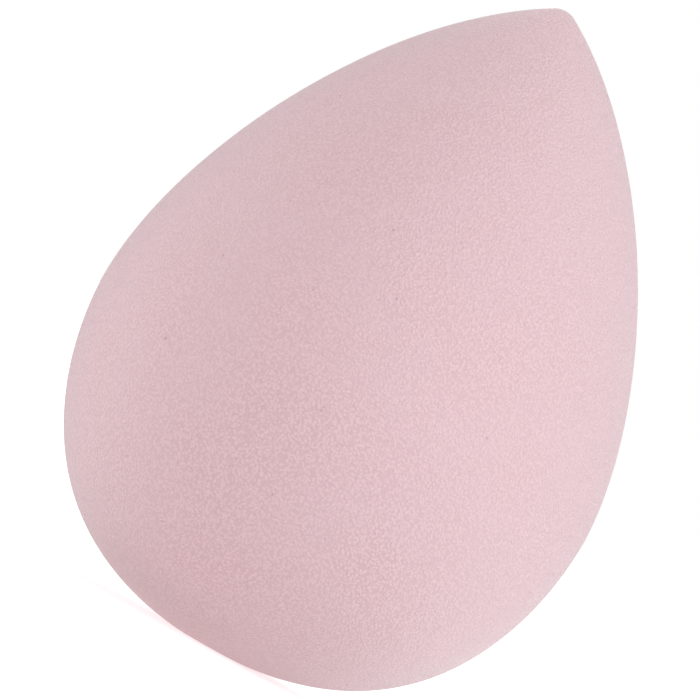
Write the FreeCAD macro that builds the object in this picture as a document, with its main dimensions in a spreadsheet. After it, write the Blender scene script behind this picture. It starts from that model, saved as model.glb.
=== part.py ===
"""Makeup sponge: one teardrop of soft open-cell foam, turned about its own upright axis.

Lengths are in millimetres. The origin is the centre of the flat foot and +Z runs up to the tip.
"""
import FreeCAD
import Part
import Sketcher
import math
import os

# Lengths of the foam; the foot depth is how far the round base is flattened where it stands
LENGTHS = {
    "sponge_length": 60.0,
    "belly_diameter": 45.2,
    "belly_height": 22.4,
    "tip_radius": 1.8,
    "foot_depth": 0.15,
}

# Angle above level, in degrees, at which the flank runs into the rounded tip
ANGLES = {"tip_cap_angle": 60.0}

# How far the outline keeps its direction at the base, below and above the belly, and below the tip
OUTLINE_SHARES = {
    "base_flat_share": 0.92,
    "lower_belly_share": 0.20,
    "upper_belly_share": 0.32,
    "flank_share": 0.37,
}

# Places on a sketched shape: its start, its end, and the centre of a round
START, END, CENTRE = range(1, 4)

# The sketch's own axes; the level one starts at the origin
LEVEL_AXIS, UPRIGHT_AXIS = range(-1, -3, -1)
ORIGIN = (LEVEL_AXIS, START)

QUARTER_TURN = math.pi / 2
FULL_TURN = 360


def write_sheet(document):
    """Put every driving size into a sheet, one named cell each."""
    sheet = document.addObject("Spreadsheet::Sheet", "Sizes")
    sizes = {**LENGTHS, **ANGLES, **OUTLINE_SHARES}
    for row, (alias, value) in enumerate(sizes.items(), start=1):
        sheet.set(f"A{row}", alias)
        sheet.set(f"B{row}", str(value))
        sheet.setAlias(f"B{row}", alias)
    document.recompute()


def sketch_on(body, role, name):
    """Start a sketch on one of the body's own origin planes."""
    plane = next(item for item in body.Origin.OriginFeatures if item.Role == role)
    sketch = body.newObject("Sketcher::SketchObject", name)
    sketch.AttachmentSupport = (plane, [""])
    sketch.MapMode = "FlatFace"
    return sketch


def add_cubic(sketch, *points):
    """Draw a cubic curve over four points and return its number and the places of its poles."""
    poles = [FreeCAD.Vector(*point) for point in points]
    curve = Part.BezierCurve()
    curve.setPoles(poles)
    number = sketch.addGeometry(curve.toBSpline(), False)
    sketch.exposeInternalGeometry(number)
    return number, [(number + step, CENTRE) for step, _ in enumerate(poles, start=1)]


def hold(sketch, kind, *places):
    """Add one constraint that has no size."""
    sketch.addConstraint(Sketcher.Constraint(kind, *places))


def bind(sketch, name, kind, first, second, formula):
    """Measure from one place to another, level or upright, and let a formula over the sheet drive it."""
    apart = sketch.getPoint(*second) - sketch.getPoint(*first)
    rough = apart.x if kind == "DistanceX" else apart.y
    index = sketch.addConstraint(Sketcher.Constraint(kind, *first, *second, rough))
    sketch.renameConstraint(index, name)
    sketch.setExpression(f"Constraints.{name}", formula)


def draw_outline(body):
    """Draw half of the teardrop's outline beside its axis.

    One cubic runs level from the base and upright into the belly. A second one leaves the belly upright
    and runs into the round of the tip. Their rough first shapes are pulled into place by the dimensions.
    """
    sketch = sketch_on(body, "XZ_Plane", "Outline")
    radius = LENGTHS["belly_diameter"] / 2
    base_level = -LENGTHS["foot_depth"]
    belly_level = base_level + LENGTHS["belly_height"]
    tip_level = base_level + LENGTHS["sponge_length"]
    tip_radius = LENGTHS["tip_radius"]
    round_level = tip_level - tip_radius

    lower, low_poles = add_cubic(
        sketch,
        (0, base_level),
        (radius, base_level),
        (radius, (base_level + belly_level) / 2),
        (radius, belly_level),
    )
    upper, up_poles = add_cubic(
        sketch,
        (radius, belly_level),
        (radius, (belly_level + tip_level) / 2),
        (radius / 2, (belly_level + tip_level) / 2),
        (tip_radius, round_level),
    )
    tip_circle = Part.Circle(FreeCAD.Vector(0, round_level), FreeCAD.Vector(0, 0, 1), tip_radius)
    cap = sketch.addGeometry(Part.ArcOfCircle(tip_circle, 0, QUARTER_TURN), False)
    axis_line = Part.LineSegment(FreeCAD.Vector(0, tip_level), FreeCAD.Vector(0, base_level))
    axis = sketch.addGeometry(axis_line, False)

    base, base_handle, low_handle, widest = low_poles
    up_start, up_handle, flank_handle, join = up_poles
    belly_radius = "Sizes.belly_diameter / 2"
    below_belly = "Sizes.belly_height"
    above_belly = "(Sizes.sponge_length - Sizes.belly_height)"
    flank_reach = f"{above_belly} * Sizes.flank_share"
    cap_drop = "Sizes.tip_radius * (1 - sin(Sizes.tip_cap_angle))"

    # Base: level across the axis, below the foot by the foot's depth
    hold(sketch, "PointOnObject", *base, UPRIGHT_AXIS)
    hold(sketch, "Horizontal", *base, *base_handle)
    bind(sketch, "base_drop", "DistanceY", base, ORIGIN, "Sizes.foot_depth")
    bind(sketch, "base_reach", "DistanceX", base, base_handle, f"{belly_radius} * Sizes.base_flat_share")

    # Belly: upright at the widest place, where the two curves meet
    hold(sketch, "Vertical", *low_handle, *widest)
    hold(sketch, "Coincident", *widest, *up_start)
    hold(sketch, "Vertical", *up_start, *up_handle)
    bind(sketch, "belly_radius", "DistanceX", base, widest, belly_radius)
    bind(sketch, "belly_rise", "DistanceY", base, widest, below_belly)
    bind(sketch, "belly_below", "DistanceY", low_handle, widest, f"{below_belly} * Sizes.lower_belly_share")
    bind(sketch, "belly_above", "DistanceY", up_start, up_handle, f"{above_belly} * Sizes.upper_belly_share")

    # Flank: meets the tip's round at the cap angle, along the round's own direction there
    bind(sketch, "join_radius", "DistanceX", base, join, "Sizes.tip_radius * cos(Sizes.tip_cap_angle)")
    bind(sketch, "join_rise", "DistanceY", base, join, f"Sizes.sponge_length - {cap_drop}")
    bind(sketch, "flank_out", "DistanceX", join, flank_handle, f"{flank_reach} * sin(Sizes.tip_cap_angle)")
    bind(sketch, "flank_down", "DistanceY", flank_handle, join, f"{flank_reach} * cos(Sizes.tip_cap_angle)")

    # Tip: a round centred on the axis, closed by the axis itself
    hold(sketch, "PointOnObject", cap, CENTRE, UPRIGHT_AXIS)
    hold(sketch, "PointOnObject", cap, END, UPRIGHT_AXIS)
    hold(sketch, "Coincident", cap, START, upper, END)
    hold(sketch, "Coincident", axis, START, cap, END)
    hold(sketch, "Coincident", axis, END, lower, START)
    bind(sketch, "round_rise", "DistanceY", base, (cap, CENTRE), "Sizes.sponge_length - Sizes.tip_radius")
    return sketch


def draw_foot_cut(body):
    """Draw the round on the resting plane inside which the base is flattened."""
    sketch = sketch_on(body, "XY_Plane", "FootCut")
    diameter = LENGTHS["belly_diameter"]
    circle = Part.Circle(FreeCAD.Vector(0, 0, 0), FreeCAD.Vector(0, 0, 1), diameter / 2)
    rim = sketch.addGeometry(circle, False)
    hold(sketch, "Coincident", rim, CENTRE, *ORIGIN)
    index = sketch.addConstraint(Sketcher.Constraint("Diameter", rim, diameter))
    sketch.renameConstraint(index, "across")
    sketch.setExpression("Constraints.across", "Sizes.belly_diameter")
    return sketch


def make_foam_body(document):
    """Turn the outline about its axis, then take off everything below the resting plane."""
    body = document.addObject("PartDesign::Body", "foam_body")
    body.Label = "foam_body"
    outline = draw_outline(body)
    document.recompute()
    teardrop = body.newObject("PartDesign::Revolution", "Teardrop")
    teardrop.Profile = outline
    teardrop.ReferenceAxis = (outline, ["V_Axis"])
    teardrop.Angle = FULL_TURN
    document.recompute()

    foot_cut = draw_foot_cut(body)
    foot = body.newObject("PartDesign::Pocket", "FlatFoot")
    foot.Profile = foot_cut
    foot.Type = "ThroughAll"
    foot.Reversed = False
    document.recompute()
    if foot.Shape.Volume >= teardrop.Shape.Volume:
        raise RuntimeError("the foot was not flattened")
    return body


def prove(document, body):
    """Stop when a step failed, a sketch is loose or the foam is not one sound solid."""
    for item in document.Objects:
        if "Invalid" in item.State or "Error" in item.State:
            raise RuntimeError(f"{item.Name} failed: {item.State}")
        if item.isDerivedFrom("Sketcher::SketchObject") and not item.FullyConstrained:
            raise RuntimeError(f"{item.Name} is not fully constrained")
    if body.Shape.isNull() or not body.Shape.isValid() or len(body.Shape.Solids) != 1:
        raise RuntimeError("the foam is not one sound solid")


def main():
    """Build the sponge and write its solid."""
    document = FreeCAD.newDocument("MakeupSponge")
    write_sheet(document)
    body = make_foam_body(document)
    prove(document, body)
    os.makedirs("parts", exist_ok=True)
    body.Shape.exportStep(f"parts/{body.Label}.step")


main()
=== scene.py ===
"""Looks of a makeup sponge: a teardrop of soft pink foam, with its studio and its camera.

Lengths are in metres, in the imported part's own frame: the origin is the centre of the flat foot and
+Z runs up to the tip.
"""
import logging
import math
from collections.abc import Mapping, Sequence
from dataclasses import dataclass, field
from enum import Enum

import bmesh
import bpy
from mathutils import Color, Matrix, Vector
from mathutils.kdtree import KDTree


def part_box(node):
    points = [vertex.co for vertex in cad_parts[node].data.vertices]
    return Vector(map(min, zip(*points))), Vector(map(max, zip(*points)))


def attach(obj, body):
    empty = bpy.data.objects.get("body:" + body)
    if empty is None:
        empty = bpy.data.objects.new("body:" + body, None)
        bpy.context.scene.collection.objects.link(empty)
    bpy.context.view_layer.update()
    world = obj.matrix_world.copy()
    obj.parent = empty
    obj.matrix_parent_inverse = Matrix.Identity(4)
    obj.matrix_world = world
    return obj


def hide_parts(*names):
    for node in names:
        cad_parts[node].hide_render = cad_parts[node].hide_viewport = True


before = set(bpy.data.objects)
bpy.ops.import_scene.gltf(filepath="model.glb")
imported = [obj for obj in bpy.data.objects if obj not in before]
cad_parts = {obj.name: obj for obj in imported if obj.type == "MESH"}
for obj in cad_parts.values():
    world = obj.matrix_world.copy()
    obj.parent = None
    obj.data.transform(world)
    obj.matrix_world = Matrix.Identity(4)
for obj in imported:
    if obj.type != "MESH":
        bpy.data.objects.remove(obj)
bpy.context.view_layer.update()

log = logging.getLogger("makeup_sponge")

MM = 0.001

Colour = tuple[float, float, float]

WHITE: Colour = (255, 255, 255)


def linear(colour: Colour) -> tuple[float, float, float, float]:
    """Turn a colour of 0 to 255, as it looks on a screen, into a shader's opaque colour.

    Args:
        colour: Red, green and blue as a screen shows them.

    Returns:
        The same colour in linear light, with an alpha of 1.
    """
    full = max(WHITE)
    screen = Color([channel / full for channel in colour])
    return (*screen.from_srgb_to_scene_linear(), 1.0)


class Wire:
    """One output of a node, with arithmetic that adds the nodes it needs."""

    def __init__(self, graph: "Graph", socket: bpy.types.NodeSocket) -> None:
        """Remember the output and the graph that it belongs to."""
        self.graph = graph
        self.socket = socket

    def __add__(self, other: "Value") -> "Wire":
        """Add two values."""
        return self.graph.math("ADD", self, other)

    def __sub__(self, other: "Value") -> "Wire":
        """Take a value away."""
        return self.graph.math("SUBTRACT", self, other)

    def __rsub__(self, other: "Value") -> "Wire":
        """Take this value away from another."""
        return self.graph.math("SUBTRACT", other, self)

    def __mul__(self, other: "Value") -> "Wire":
        """Multiply two values."""
        return self.graph.math("MULTIPLY", self, other)

    def __truediv__(self, other: "Value") -> "Wire":
        """Divide by a value."""
        return self.graph.math("DIVIDE", self, other)

    def __rtruediv__(self, other: "Value") -> "Wire":
        """Divide another value by this one."""
        return self.graph.math("DIVIDE", other, self)

    def __abs__(self) -> "Wire":
        """Drop the sign."""
        return self.graph.math("ABSOLUTE", self)

    def part(self, axis: str) -> "Wire":
        """Take one part, X, Y or Z, of a vector."""
        return self.graph.add("ShaderNodeSeparateXYZ", {"Vector": self}, output=axis)


Value = Wire | float | int | str | bool | tuple | bpy.types.ID
Inputs = Mapping[str | int, Value] | None


class Graph:
    """A node tree that is being built, for a shape or for a finish."""

    def __init__(self, tree: bpy.types.NodeTree) -> None:
        """Start on an empty tree.

        Args:
            tree: The tree that the nodes go into.
        """
        self.tree = tree
        self.tree.nodes.clear()

    def node(self, kind: str, inputs: Inputs = None, **settings: object) -> bpy.types.Node:
        """Add a node, set it up and feed it.

        Args:
            kind: The node's type.
            inputs: A value or a wire for each input, by name or by number.
            settings: The node's own options.

        Returns:
            The new node.
        """
        made = self.tree.nodes.new(kind)
        for name, option in settings.items():
            setattr(made, name, option)
        for key, value in (inputs or {}).items():
            self.feed(made, key, value)
        return made

    def add(self, kind: str, inputs: Inputs = None, output: str | int = 0, **settings: object) -> Wire:
        """Add a node and return one of its outputs, by name or by number."""
        made = self.node(kind, inputs, **settings)
        return self.out(made, output)

    def out(self, node: bpy.types.Node, output: str | int = 0) -> Wire:
        """Return one output of a node that is there already.

        Args:
            node: The node.
            output: The output's name, or its number among those in use.

        Returns:
            The output's wire.
        """
        live = [socket for socket in node.outputs if socket.enabled]
        found = live[output] if isinstance(output, int) else next(s for s in live if s.name == output)
        return Wire(self, found)

    def feed(self, node: bpy.types.Node, key: str | int, value: Value) -> None:
        """Link a wire to a node's input, or set the input's own value.

        Args:
            node: The node.
            key: The input's name, or its number among those in use.
            value: A wire, or a plain value.
        """
        live = [socket for socket in node.inputs if socket.enabled]
        target = live[key] if isinstance(key, int) else next(s for s in live if s.name == key)
        if isinstance(value, Wire):
            self.tree.links.new(value.socket, target)
        else:
            target.default_value = value

    def math(self, operation: str, *values: Value) -> Wire:
        """Add one Math node over the values."""
        return self.add("ShaderNodeMath", dict(enumerate(values)), operation=operation)

    def vector_math(self, operation: str, *values: Value, output: str = "Vector") -> Wire:
        """Add one Vector Math node over the values."""
        return self.add("ShaderNodeVectorMath", dict(enumerate(values)), output=output, operation=operation)

    def vector(self, x: Value, y: Value, z: Value) -> Wire:
        """Join three values to a vector."""
        return self.add("ShaderNodeCombineXYZ", {"X": x, "Y": y, "Z": z})

    def ease(self, value: Value, start: float, end: float, low: float = 0.0, high: float = 1.0) -> Wire:
        """Run smoothly from low to high while a value goes from start to end."""
        inputs = {"Value": value, "From Min": start, "From Max": end, "To Min": low, "To Max": high}
        return self.add("ShaderNodeMapRange", inputs, interpolation_type="SMOOTHSTEP")

    def noise(self, place: Wire, size: Value, detail: float) -> Wire:
        """Add soft random grain of one size."""
        inputs = {"Vector": place, "Scale": 1.0 / size, "Detail": detail}
        return self.add("ShaderNodeTexNoise", inputs, output="Fac")

    def mix(self, share: Value, first: Value, second: Value) -> Wire:
        """Mix two colours by a share of the second."""
        inputs = {"Factor": share, "A": first, "B": second}
        return self.add("ShaderNodeMix", inputs, output="Result", data_type="RGBA")


class ShapeGraph(Graph):
    """A Geometry Nodes tree with named inputs, whose result becomes a plain mesh."""

    def __init__(self, name: str) -> None:
        """Start a tree with a mesh going in and a mesh coming out.

        Args:
            name: The tree's name.
        """
        super().__init__(bpy.data.node_groups.new(name, "GeometryNodeTree"))
        self.values: dict[str, Value] = {}
        self.tree.interface.new_socket("Mesh", in_out="OUTPUT", socket_type="NodeSocketGeometry")
        self.tree.interface.new_socket("Mesh", in_out="INPUT", socket_type="NodeSocketGeometry")
        self.start = self.tree.nodes.new("NodeGroupInput")
        self.end = self.tree.nodes.new("NodeGroupOutput")

    def take(self, name: str, value: Value) -> Wire:
        """Add a named input and the value that it gets on the piece.

        Args:
            name: The input's name.
            value: A number, an object or a material.

        Returns:
            The input's wire inside the tree.
        """
        kinds = {
            bpy.types.Object: "NodeSocketObject",
            bpy.types.Material: "NodeSocketMaterial",
            int: "NodeSocketInt",
        }
        fitting = [socket for owner, socket in kinds.items() if isinstance(value, owner)]
        kind = fitting[0] if fitting else "NodeSocketFloat"
        made = self.tree.interface.new_socket(name, in_out="INPUT", socket_type=kind)
        self.values[made.identifier] = value
        return self.out(self.start, name)

    def mesh(self) -> Wire:
        """Return the mesh that goes in."""
        return self.out(self.start, "Mesh")

    def finish(self, shape: Wire, material: Value | None = None) -> None:
        """End the tree with real faces that carry the material.

        Args:
            shape: What the tree has made.
            material: The material's wire, or nothing for a helper.
        """
        real = self.add("GeometryNodeRealizeInstances", {"Geometry": shape})
        if material is not None:
            real = self.add("GeometryNodeSetMaterial", {"Geometry": real, "Material": material})
        self.feed(self.end, "Mesh", real)

    def grow(self, name: str, base: bpy.types.Mesh | None = None) -> bpy.types.Mesh:
        """Run the tree over a mesh and keep what comes out.

        Args:
            name: The new mesh's name.
            base: The mesh that goes in, or nothing where the tree starts its own.

        Returns:
            A plain mesh with no modifier behind it.
        """
        holder = bpy.data.objects.new(name, base or bpy.data.meshes.new(name))
        bpy.context.scene.collection.objects.link(holder)
        modifier = holder.modifiers.new(name, "NODES")
        modifier.node_group = self.tree
        for identifier, value in self.values.items():
            modifier[identifier] = value
        depsgraph = bpy.context.evaluated_depsgraph_get()
        made = bpy.data.meshes.new_from_object(
            holder.evaluated_get(depsgraph), preserve_all_data_layers=True, depsgraph=depsgraph
        )
        bpy.data.objects.remove(holder)
        for number in reversed(range(len(made.materials))):
            if made.materials[number] is None:
                made.materials.pop(index=number)
        return made


@dataclass(frozen=True)
class PoreSize:
    """How many pores of one kind the foam has, how wide and deep they are, and how strong the painted shade
    in them is.
    """

    count: int
    least_reach: float
    most_reach: float
    depth_share: float
    seed: int


class Pore(Enum):
    """The kinds of open cell that show on the ground surface."""

    FAINT = PoreSize(count=300, least_reach=0.08 * MM, most_reach=0.12 * MM, depth_share=0.18, seed=11)
    OPEN = PoreSize(count=60, least_reach=0.10 * MM, most_reach=0.13 * MM, depth_share=0.40, seed=23)
    DEEP = PoreSize(count=12, least_reach=0.11 * MM, most_reach=0.15 * MM, depth_share=0.46, seed=37)


@dataclass(frozen=True)
class FoamFinish:
    """Matte pink foam, ground to a suede-like nap over fine cells."""

    # Painted shade in the hollows of the grain and painted light on its crests
    shaded_hollow: Colour = (223, 188, 193)
    lit_crest: Colour = (238, 205, 210)
    # Painted shade inside the pores
    pit: Colour = (168, 118, 127)
    cloud: Colour = (229, 200, 206)
    cloud_size: float = 9 * MM
    cloud_strength: float = 0.3
    cloud_start: float = 0.3
    cloud_end: float = 0.7
    noise_detail: float = 2.0
    grain_size: float = 0.155 * MM
    crown_size: float = 0.25 * MM
    crown_share: float = 0.35
    crown_top: float = 0.15
    crown_foot: float = 0.75
    hollow_height: float = 0.20
    crest_height: float = 0.75
    even_tone: float = 0.5
    relief: float = 0.11 * MM
    # Painted shade and light of the grain: stronger at the base by the base share, easing back to plain
    # between these two heights
    strong_shade_height: float = 6 * MM
    plain_shade_height: float = 26 * MM
    base_shade_strength: float = 1.8
    roughness: float = 0.95
    shine: float = 0.15
    nap: float = 0.8
    nap_roughness: float = 0.5
    nap_tint: Colour = (255, 246, 246)

    def material(self) -> bpy.types.Material:
        """Build the foam's material.

        Returns:
            A material that reads the piece's own coordinates and its pores.
        """
        made = bpy.data.materials.new("pink_foam")
        made.use_nodes = True
        graph = Graph(made.node_tree)
        place = graph.add("ShaderNodeTexCoord", output="Object")

        # Grain: rounded crowns of foam, standing close together, over a finer roughness
        cells = graph.add(
            "ShaderNodeTexVoronoi",
            {"Vector": place, "Scale": 1 / self.crown_size, "Randomness": 1.0},
            output="Distance",
        )
        crowns = graph.ease(cells, self.crown_top, self.crown_foot, 1.0, 0.0)
        grain = graph.noise(place, self.grain_size, self.noise_detail)
        height = grain * (1 - self.crown_share) + crowns * self.crown_share
        # How deep in a pore each point lies, for the painted shade in the pores
        pit = graph.add("ShaderNodeAttribute", output="Fac", attribute_name=FoamBody.PIT)

        # Colour: painted light on the crests and painted shade in the hollows, stronger toward the base,
        # cloudy over the whole, painted shade in the pores
        level = place.part("Z")
        # Painted shade of the grain, stronger toward the base
        shade_strength = graph.ease(level, self.strong_shade_height, self.plain_shade_height, self.base_shade_strength, 1.0)
        # Painted shade and light of the grain, from the hollows to the crests
        painted_grain_shade = graph.ease(height, self.hollow_height, self.crest_height)
        painted_grain_shade = (painted_grain_shade - self.even_tone) * shade_strength + self.even_tone
        cloud = graph.noise(place, self.cloud_size, self.noise_detail)
        cloud = graph.ease(cloud, self.cloud_start, self.cloud_end) * self.cloud_strength
        colour = graph.mix(painted_grain_shade, linear(self.shaded_hollow), linear(self.lit_crest))
        colour = graph.mix(cloud, colour, linear(self.cloud))
        colour = graph.mix(pit, colour, linear(self.pit))

        relief = graph.add("ShaderNodeBump", {"Height": height, "Distance": self.relief, "Strength": 1.0})
        shader = graph.node(
            "ShaderNodeBsdfPrincipled",
            {
                "Base Color": colour,
                "Normal": relief,
                "Roughness": self.roughness,
                "Specular IOR Level": self.shine,
                "Sheen Weight": self.nap,
                "Sheen Roughness": self.nap_roughness,
                "Sheen Tint": linear(self.nap_tint),
            },
        )
        graph.node("ShaderNodeOutputMaterial", {"Surface": graph.out(shader)})
        return made


@dataclass
class FoamBody:
    """The sponge itself: a teardrop whose outline is turned about its axis, pressed flat at the foot."""

    # Named number of how deep in a pore a point lies; it sets the painted shade in the pores
    PIT = "pit"
    REACH = "reach"
    BAKE_MAP = "OFBake"

    node: str = "foam_body"
    slot: str = "foam"
    belly_height: float = 22.4 * MM
    tip_radius: float = 1.8 * MM
    foot_depth: float = 0.15 * MM
    cap_angle: float = math.radians(60)
    base_flat_share: float = 0.92
    lower_belly_share: float = 0.20
    upper_belly_share: float = 0.32
    flank_share: float = 0.37
    foot_softness: float = 0.1 * MM
    unevenness: float = 0.10 * MM
    uneven_size: float = 17 * MM
    squares: int = 200
    outline_steps: int = 400
    map_margin_share: float = 1 / 1024
    seam_gap: float = 0.0001
    tip_patch: float = 4 * MM
    tip_edge: float = 0.12 * MM
    pore_edge: float = 0.06 * MM
    split_rounds: int = 4
    pore_wobble: float = 0.04 * MM
    wobble_size: float = 0.12 * MM
    pore_floor_share: float = 0.25
    noise_detail: float = 1.0
    ball_area_share: float = 4 / 9
    length: float = field(init=False)
    belly_radius: float = field(init=False)
    ball_scale: float = field(init=False)

    def __post_init__(self) -> None:
        """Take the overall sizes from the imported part."""
        low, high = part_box(self.node)
        self.length = high.z - low.z + self.foot_depth
        self.belly_radius = (high.x - low.x) / 2
        self.ball_scale = math.sqrt(self.length * self.belly_radius * self.ball_area_share)

    def build(self, foam: bpy.types.Material) -> bpy.types.Object:
        """Make the foam's skin and stand it in for the plain solid.

        Args:
            foam: The material of the foam.

        Returns:
            The finished piece.
        """
        ball = self.ball_graph().grow("foam_ball")
        pores = bpy.data.objects.new("foam_pores", self.pore_graph().grow("foam_pores", ball.copy()))
        bpy.context.scene.collection.objects.link(pores)
        self.refine(ball, pores.data)
        skin = self.skin_graph(pores, foam).grow("foam_skin", ball)
        bpy.data.objects.remove(pores)
        piece = bpy.data.objects.new("foam_teardrop", skin)
        bpy.context.scene.collection.objects.link(piece)
        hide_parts(self.node)
        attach(piece, "root")
        return piece

    def ball_graph(self) -> ShapeGraph:
        """Fold a square grid over a ball so that every cell covers the same area.

        Returns:
            The tree, whose mesh also carries the square as its flat map.
        """
        graph = ShapeGraph("FoamBall")
        steps = graph.take("Squares", self.squares) + 1
        margin = graph.take("Map Margin", self.map_margin_share)
        grid = graph.node(
            "GeometryNodeMeshGrid",
            {"Size X": 2.0, "Size Y": 2.0, "Vertices X": steps, "Vertices Y": steps},
        )
        square = graph.add("GeometryNodeInputPosition")
        keep = 0.5 - margin
        flat = graph.vector(square.part("X") * keep + 0.5, square.part("Y") * keep + 0.5, 0.0)
        mapped = graph.add(
            "GeometryNodeStoreNamedAttribute",
            {"Geometry": graph.out(grid, "Mesh"), "Name": self.BAKE_MAP, "Value": flat},
            data_type="FLOAT2",
            domain="CORNER",
        )
        folded = self.folded(graph, square)
        ball = graph.add("GeometryNodeSetPosition", {"Geometry": mapped, "Position": folded})
        closed = graph.add("GeometryNodeMergeByDistance", {"Geometry": ball, "Distance": self.seam_gap})
        graph.finish(closed)
        return graph

    @staticmethod
    def folded(graph: Graph, square: Wire) -> Wire:
        """Fold a square from -1 to 1 each way over a ball of radius 1, its middle on top.

        Args:
            graph: The tree to build in.
            square: The place in the square.

        Returns:
            The place on the ball.
        """
        across, along = square.part("X"), square.part("Y")
        level = 1.0 - abs(across) - abs(along)
        reach = 1.0 - abs(level)
        turn = ((abs(along) - abs(across)) / reach + 1.0) * (math.pi / 4)
        height = graph.math("SIGN", level) * (1.0 - reach * reach)
        radius = reach * graph.math("SQRT", 2.0 - reach * reach)
        return graph.vector(
            graph.math("SIGN", across) * graph.math("COSINE", turn) * radius,
            graph.math("SIGN", along) * graph.math("SINE", turn) * radius,
            height,
        )

    def pore_graph(self) -> ShapeGraph:
        """Scatter the pores over the ball, each with its reach and its depth.

        Returns:
            The tree, whose mesh is one loose point for each pore.
        """
        graph = ShapeGraph("FoamPores")
        kinds = [self.scattered(graph, kind) for kind in Pore]
        together = graph.node("GeometryNodeJoinGeometry")
        for points in reversed(kinds):
            graph.feed(together, 0, points)
        graph.finish(graph.out(together))
        return graph

    def scattered(self, graph: ShapeGraph, kind: Pore) -> Wire:
        """Scatter the pores of one kind.

        Args:
            graph: The tree to build in.
            kind: The kind of pore.

        Returns:
            Their points.
        """
        size = kind.value
        word = kind.name.title()
        density = graph.take(f"{word} Count", size.count) / (4 * math.pi)
        seed = graph.take(f"{word} Seed", size.seed)
        least = graph.take(f"{word} Least Reach", size.least_reach)
        most = graph.take(f"{word} Most Reach", size.most_reach)
        depth = graph.take(f"{word} Depth Share", size.depth_share)
        points = graph.add(
            "GeometryNodeDistributePointsOnFaces", {"Mesh": graph.mesh(), "Density": density, "Seed": seed}
        )
        points = graph.add("GeometryNodePointsToVertices", {"Points": points})
        between = {"Min": least, "Max": most, "Seed": seed}
        reach = graph.add("FunctionNodeRandomValue", between, data_type="FLOAT")
        points = self.note(graph, points, self.REACH, reach)
        return self.note(graph, points, self.PIT, depth)

    @staticmethod
    def note(graph: Graph, shape: Wire, name: str, value: Wire) -> Wire:
        """Write a named number on every point of a shape."""
        inputs = {"Geometry": shape, "Name": name, "Value": value}
        return graph.add("GeometryNodeStoreNamedAttribute", inputs, data_type="FLOAT", domain="POINT")

    def refine(self, ball: bpy.types.Mesh, pores: bpy.types.Mesh) -> None:
        """Give the ball smaller triangles round each pore and at the tip.

        Args:
            ball: The ball's mesh, which is changed.
            pores: The pores' points on the ball.
        """
        work = bmesh.new()
        work.from_mesh(ball)
        bmesh.ops.triangulate(work, faces=work.faces[:])
        reaches = [note.value for note in pores.attributes[self.REACH].data]
        self.split_near(work, [point.co for point in pores.vertices], reaches, self.pore_edge)
        self.split_near(work, [Vector((0, 0, 1))], [self.tip_patch], self.tip_edge)
        work.to_mesh(ball)
        work.free()

    def split_near(
        self, work: bmesh.types.BMesh, spots: Sequence[Vector], reaches: Sequence[float], finest: float
    ) -> None:
        """Halve the edges round some spots of the ball, a few times over, until they are fine enough.

        Args:
            work: The ball, which is changed.
            spots: Places on the ball.
            reaches: How far the fine triangles reach from each spot, on the sponge.
            finest: The longest edge that may stay there, on the sponge.
        """
        near = KDTree(len(spots))
        for number, spot in enumerate(spots):
            near.insert(spot.normalized(), number)
        near.balance()
        for _ in range(self.split_rounds):
            coarse = []
            for edge in work.edges:
                long = edge.calc_length() * self.ball_scale
                middle = (edge.verts[0].co + edge.verts[1].co) / 2
                _, number, away = near.find(middle)
                if long > finest and away * self.ball_scale < reaches[number] + long / 2:
                    coarse.append(edge)
            bmesh.ops.subdivide_edges(work, edges=coarse, cuts=1)
            for vert in work.verts:
                vert.co.normalize()
            bmesh.ops.triangulate(work, faces=[face for face in work.faces if len(face.verts) > 3])

    def skin_graph(self, pores: bpy.types.Object, foam: bpy.types.Material) -> ShapeGraph:
        """Pull the ball out to the teardrop, flatten its foot and press the pores in.

        Args:
            pores: The pores' points on the ball.
            foam: The material of the foam.

        Returns:
            The tree.
        """
        graph = ShapeGraph("FoamSkin")
        outline = self.outline(graph)
        ball = graph.vector_math("NORMALIZE", graph.add("GeometryNodeInputPosition"))
        turned = self.turned(graph, ball, outline)
        skin = graph.add("GeometryNodeSetPosition", {"Geometry": graph.mesh(), "Position": turned})

        # The ground surface is never quite even
        uneven = graph.take("Unevenness", self.unevenness)
        waves = graph.take("Uneven Size", self.uneven_size)
        place = graph.add("GeometryNodeInputPosition")
        normal = graph.add("GeometryNodeInputNormal")
        noise = graph.noise(place, waves, self.noise_detail)
        swell = graph.vector_math("SCALE", normal, (noise - 0.5) * uneven)
        skin = graph.add("GeometryNodeSetPosition", {"Geometry": skin, "Offset": swell})

        # The base settles flat where it stands, with a soft rim
        soft = graph.take("Foot Softness", self.foot_softness)
        height = graph.math("SMOOTH_MAX", place.part("Z"), 0.0, soft)
        footed = graph.vector(place.part("X"), place.part("Y"), height)
        skin = graph.add("GeometryNodeSetPosition", {"Geometry": skin, "Position": footed})

        # The pores lie on the same skin
        spots = graph.take("Pores", pores)
        seeds = graph.add("GeometryNodeObjectInfo", {"Object": spots}, output="Geometry")
        seeds = graph.add("GeometryNodeSetPosition", {"Geometry": seeds, "Position": turned})
        seeds = graph.add("GeometryNodeSetPosition", {"Geometry": seeds, "Position": footed})
        skin = self.pressed(graph, skin, seeds)
        skin = graph.add("GeometryNodeSetShadeSmooth", {"Geometry": skin})
        graph.finish(skin, graph.take("Foam", foam))
        return graph

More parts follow.
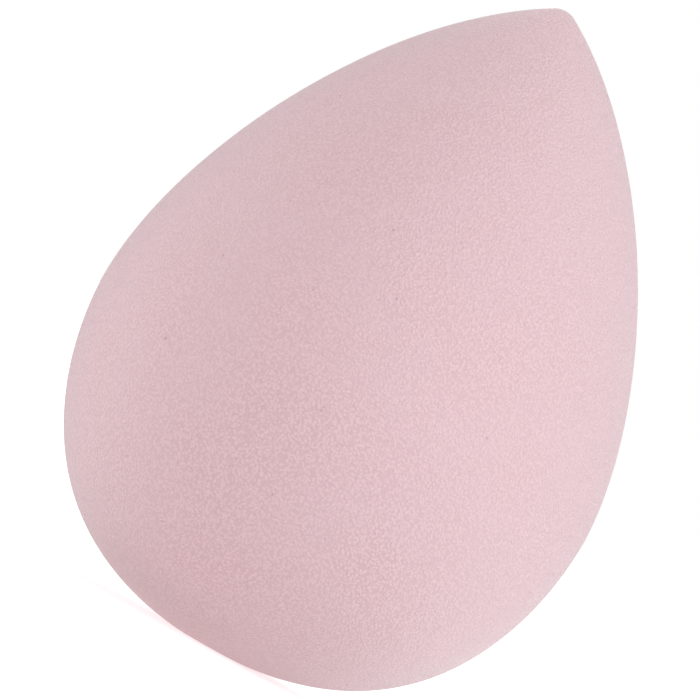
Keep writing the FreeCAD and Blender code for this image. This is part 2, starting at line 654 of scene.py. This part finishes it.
    def outline(self, graph: ShapeGraph) -> Wire:
        """Draw half of the teardrop's outline from the tip down to the base.

        Args:
            graph: The tree to build in.

        Returns:
            The outline's three curves, in order.
        """
        length = graph.take("Length", self.length)
        radius = graph.take("Belly Radius", self.belly_radius)
        rise = graph.take("Belly Height", self.belly_height)
        tip = graph.take("Tip Radius", self.tip_radius)
        cap = graph.take("Cap Angle", self.cap_angle)
        depth = graph.take("Foot Depth", self.foot_depth)
        base_flat = graph.take("Base Flat Share", self.base_flat_share)
        lower_belly = graph.take("Lower Belly Share", self.lower_belly_share)
        upper_belly = graph.take("Upper Belly Share", self.upper_belly_share)
        flank = graph.take("Flank Share", self.flank_share)
        across, up = graph.math("COSINE", cap), graph.math("SINE", cap)
        base_level = 0.0 - depth
        belly_level = rise - depth
        tip_level = length - depth
        above = length - rise
        join_radius = tip * across
        join_level = tip_level - tip * (1.0 - up)
        # A circle's arc as a cubic has handles of 4/3 the tangent of a quarter of its angle
        cap_handle = tip * graph.math("TANGENT", (math.pi / 2 - cap) / 4) * (4 / 3)

        tip_top = graph.vector(0.0, 0.0, tip_level)
        join = graph.vector(join_radius, 0.0, join_level)
        widest = graph.vector(radius, 0.0, belly_level)
        base = graph.vector(0.0, 0.0, base_level)
        cap_start = graph.vector(cap_handle, 0.0, tip_level)
        cap_end = graph.vector(join_radius - cap_handle * up, 0.0, join_level + cap_handle * across)
        flank_reach = above * flank
        flank_start = graph.vector(join_radius + flank_reach * up, 0.0, join_level - flank_reach * across)
        flank_end = graph.vector(radius, 0.0, belly_level + above * upper_belly)
        low_start = graph.vector(radius, 0.0, belly_level - rise * lower_belly)
        low_end = graph.vector(radius * base_flat, 0.0, base_level)
        curves = [
            (tip_top, cap_start, cap_end, join),
            (join, flank_start, flank_end, widest),
            (widest, low_start, low_end, base),
        ]
        together = graph.node("GeometryNodeJoinGeometry")
        for start, start_handle, end_handle, end in reversed(curves):
            curve = graph.add(
                "GeometryNodeCurvePrimitiveBezierSegment",
                {
                    "Resolution": self.outline_steps,
                    "Start": start,
                    "Start Handle": start_handle,
                    "End Handle": end_handle,
                    "End": end,
                },
                mode="POSITION",
            )
            graph.feed(together, 0, curve)
        return graph.out(together)

    @staticmethod
    def turned(graph: Graph, ball: Wire, outline: Wire) -> Wire:
        """Carry a place on the ball to the teardrop: down the outline as far, and round the axis as far.

        Args:
            graph: The tree to build in.
            ball: The place on the ball of radius 1.
            outline: The outline's curves, from the tip to the base.

        Returns:
            The place on the teardrop.
        """
        down = graph.math("ARCCOSINE", ball.part("Z")) / math.pi
        reached = graph.add(
            "GeometryNodeSampleCurve",
            {"Curves": outline, "Factor": down},
            output="Position",
            mode="FACTOR",
            use_all_curves=True,
        )
        level_way = graph.vector_math("NORMALIZE", graph.vector(ball.part("X"), ball.part("Y"), 0.0))
        radius = reached.part("X")
        return graph.vector(level_way.part("X") * radius, level_way.part("Y") * radius, reached.part("Z"))

    def pressed(self, graph: ShapeGraph, skin: Wire, seeds: Wire) -> Wire:
        """Press each pore into the skin as a small bowl with a wavering rim.

        Args:
            graph: The tree to build in.
            skin: The smooth skin.
            seeds: The pores' points on the skin.

        Returns:
            The skin with its pores, and how deep in a pore each point lies, which sets the painted shade in
            the pores.
        """
        place = graph.add("GeometryNodeInputPosition")
        normal = graph.add("GeometryNodeInputNormal")
        nearest = graph.add(
            "GeometryNodeSampleNearest", {"Geometry": seeds, "Sample Position": place}, domain="POINT"
        )

        def at_nearest(value: Wire, kind: str) -> Wire:
            """Read a value of the nearest pore."""
            inputs = {"Geometry": seeds, "Value": value, "Index": nearest}
            return graph.add("GeometryNodeSampleIndex", inputs, data_type=kind, domain="POINT")

        def noted(name: str) -> Wire:
            """Read a named number of the pores."""
            inputs = {"Name": name}
            return graph.add(
                "GeometryNodeInputNamedAttribute", inputs, output="Attribute", data_type="FLOAT"
            )

        middle = at_nearest(graph.add("GeometryNodeInputPosition"), "FLOAT_VECTOR")
        reach = at_nearest(noted(self.REACH), "FLOAT")
        depth = at_nearest(noted(self.PIT), "FLOAT")
        wobble = graph.take("Pore Wobble", self.pore_wobble)
        stir = graph.noise(place, self.wobble_size, self.noise_detail)
        away = graph.vector_math("DISTANCE", place, middle, output="Value") + (stir - 0.5) * wobble
        sunk = graph.ease(away / reach, self.pore_floor_share, 1.0, 1.0, 0.0)
        # The pit number darkens the colour there as painted shade
        skin = self.note(graph, skin, self.PIT, sunk * graph.math("MINIMUM", depth, 1.0))
        push = graph.vector_math("SCALE", normal, 0.0 - sunk * depth * reach)
        return graph.add("GeometryNodeSetPosition", {"Geometry": skin, "Offset": push})


@dataclass(frozen=True)
class SoftBox:
    """One large soft lamp, aimed at the middle of the sponge."""

    name: str
    azimuth: float
    elevation: float
    power: float
    colour: Colour
    distance: float = 0.60
    width: float = 0.45


@dataclass
class Studio:
    """A plain white studio: floor, backdrop light and soft lamps."""

    lamps: tuple[SoftBox, ...] = (
        SoftBox("right_lamp", azimuth=64, elevation=30, power=2.28, colour=(246, 255, 254)),
        SoftBox("left_lamp", azimuth=-45, elevation=8, power=1.26, colour=(251, 255, 252)),
        SoftBox("rear_lamp", azimuth=-110, elevation=8, power=1.20, colour=(246, 255, 255)),
        SoftBox("back_lamp", azimuth=165, elevation=25, power=0.95, colour=(246, 255, 254)),
    )
    ambient: float = 0.42
    ambient_colour: Colour = (255, 244, 249)
    floor_glow: float = 0.107
    contact_glow: float = 0.38
    contact_inside: float = 4 * MM
    contact_outside: float = 16 * MM
    floor_colour: Colour = (238, 238, 238)
    floor_size: float = 6.0
    bare_floor: float = 0.02
    white_floor: float = 0.12
    floor_lift: float = 0.55

    def build(self, aim: Vector) -> bpy.types.Object:
        """Set up the floor, the backdrop's light and the lamps.

        Args:
            aim: The place that the lamps point at.

        Returns:
            The floor.
        """
        self.light_backdrop()
        for lamp in self.lamps:
            self.hang(lamp, aim)
        square = bmesh.new()
        bmesh.ops.create_grid(square, x_segments=1, y_segments=1, size=self.floor_size / 2)
        mesh = bpy.data.meshes.new("floor")
        square.to_mesh(mesh)
        square.free()
        floor = bpy.data.objects.new("floor", mesh)
        mesh.materials.append(self.floor_material())
        bpy.context.scene.collection.objects.link(floor)
        return floor

    @staticmethod
    def seen_directly(graph: Graph) -> Wire:
        """Tell where the camera, or a mirror or glass in front of it, looks straight at a surface.

        Args:
            graph: The tree to build in.

        Returns:
            A wire that is 1 there and 0 elsewhere.
        """
        path = graph.node("ShaderNodeLightPath")
        seen = graph.out(path, "Is Camera Ray")
        for other in ("Is Glossy Ray", "Is Transmission Ray"):
            seen = graph.math("MAXIMUM", seen, graph.out(path, other))
        return seen

    def light_backdrop(self) -> None:
        """Make the backdrop white to look at, and an even soft light on the sponge."""
        world = bpy.data.worlds.new("backdrop")
        world.use_nodes = True
        bpy.context.scene.world = world
        graph = Graph(world.node_tree)
        soft_light = {"Color": linear(self.ambient_colour), "Strength": self.ambient}
        glow = graph.add("ShaderNodeBackground", soft_light)
        white = graph.add("ShaderNodeBackground", {"Color": linear(WHITE), "Strength": 1.0})
        both = graph.add("ShaderNodeMixShader", {0: self.seen_directly(graph), 1: glow, 2: white})
        graph.node("ShaderNodeOutputWorld", {"Surface": both})

    def floor_material(self) -> bpy.types.Material:
        """Make a pale floor that keeps the sponge's shadow and turns white further out.

        Returns:
            The floor's material.
        """
        made = bpy.data.materials.new("pale_floor")
        made.use_nodes = True
        graph = Graph(made.node_tree)
        place = graph.add("ShaderNodeTexCoord", output="Object")
        out = graph.vector_math("LENGTH", place, output="Value")
        lift = graph.ease(out, self.bare_floor, self.white_floor, self.floor_lift, 1.0)
        glow = graph.ease(out, self.contact_inside, self.contact_outside, self.contact_glow, self.floor_glow)
        strength = (lift - glow) * self.seen_directly(graph) + glow
        matte = graph.add("ShaderNodeBsdfDiffuse", {"Color": linear(self.floor_colour)})
        shining = graph.add("ShaderNodeEmission", {"Color": linear(WHITE), "Strength": strength})
        both = graph.add("ShaderNodeAddShader", {0: matte, 1: shining})
        graph.node("ShaderNodeOutputMaterial", {"Surface": both})
        return made

    @staticmethod
    def hang(box: SoftBox, aim: Vector) -> bpy.types.Object:
        """Hang one soft lamp and point it.

        Args:
            box: The lamp's place and strength. Azimuth 0 is the camera's side, and 90 is its right.
            aim: The place that it points at.

        Returns:
            The lamp.
        """
        turn, rise = math.radians(box.azimuth), math.radians(box.elevation)
        way = Vector((math.sin(turn) * math.cos(rise), -math.cos(turn) * math.cos(rise), math.sin(rise)))
        light = bpy.data.lights.new(box.name, "AREA")
        light.energy = box.power
        light.size = box.width
        light.color = linear(box.colour)[:3]
        lamp = bpy.data.objects.new(box.name, light)
        lamp.location = aim + way * box.distance
        lamp.rotation_euler = (-way).to_track_quat("-Z", "Y").to_euler()
        lamp.visible_camera = False
        bpy.context.scene.collection.objects.link(lamp)
        return lamp


@dataclass(frozen=True)
class PhotoCamera:
    """A long lens level with the sponge's middle, rolled so that the tip leans to the right."""

    lean: float = math.radians(29.2)
    aim_x: float = -1.91 * MM
    aim_z: float = 26.89 * MM
    frame_width: float = 57.54 * MM
    distance: float = 0.70
    sensor_width: float = 36.0
    near_clip: float = 0.01
    far_clip: float = 20.0

    def build(self) -> bpy.types.Object:
        """Make the camera and use it for the scene.

        Returns:
            The camera.
        """
        data = bpy.data.cameras.new("photo_camera")
        data.sensor_width = self.sensor_width
        data.lens = self.sensor_width * self.distance / self.frame_width
        data.clip_start = self.near_clip
        data.clip_end = self.far_clip
        camera = bpy.data.objects.new("photo_camera", data)
        level = Matrix.Rotation(math.radians(90), 4, "X")
        roll = Matrix.Rotation(self.lean, 4, "Z")
        camera.matrix_world = Matrix.Translation((self.aim_x, -self.distance, self.aim_z)) @ level @ roll
        bpy.context.scene.collection.objects.link(camera)
        bpy.context.scene.camera = camera
        return camera


def main() -> None:
    """Build the sponge, its studio and its camera, in that order."""
    logging.basicConfig(level=logging.INFO, format="%(name)s: %(message)s")
    bpy.context.scene.view_settings.view_transform = "Standard"
    sponge = FoamBody()
    foam = FoamFinish().material()
    piece = sponge.build(foam)
    log.info("%s has %d faces", piece.name, len(piece.data.polygons))
    floor = Studio().build(aim=Vector((0, 0, sponge.length / 2)))
    log.info("%s is the stage", floor.name)
    camera = PhotoCamera().build()
    log.info("%s has a lens of %.0f mm", camera.name, camera.data.lens)


if __name__ == "__main__":
    main()
